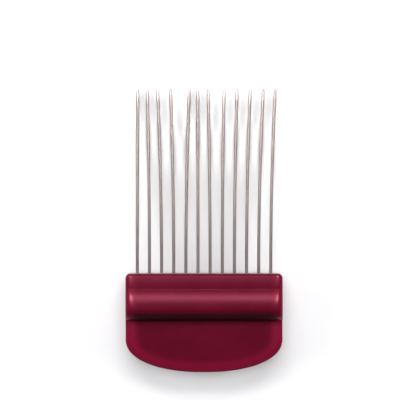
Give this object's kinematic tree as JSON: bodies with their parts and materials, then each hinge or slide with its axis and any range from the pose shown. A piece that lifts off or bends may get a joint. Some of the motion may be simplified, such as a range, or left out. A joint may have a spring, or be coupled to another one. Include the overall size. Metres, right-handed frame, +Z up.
{
  "type": "quilling comb",
  "caption": "Quilling comb: a row of long round steel pins in a moulded handle with a finger ridge and a half-moon grip plate.",
  "frame": {"origin": "on the table under the middle of the comb's bounding box, as it lies face up at rest", "axes": "+X across the handle to the right as the front face is seen with the pins up, +Y along the pins towards their tips, +Z up off the table"},
  "size_m": [0.062, 0.1118, 0.0155],
  "materials": {
    "handle_plastic": "glossy maroon moulded plastic",
    "bar_plastic": "plain moulded plastic, unseen inside the handle",
    "pin_steel": "drawn, warm grey nickel-plated steel wire"
  },
  "bodies": {
    "root": {"front_shell": "handle_plastic", "rear_shell": "handle_plastic", "pin_bar": "bar_plastic", "pin_01": "pin_steel", "pin_02": "pin_steel", "pin_03": "pin_steel", "pin_04": "pin_steel", "pin_05": "pin_steel", "pin_06": "pin_steel", "pin_07": "pin_steel", "pin_08": "pin_steel", "pin_09": "pin_steel", "pin_10": "pin_steel", "pin_11": "pin_steel", "pin_12": "pin_steel"}
  },
  "joints": []
}
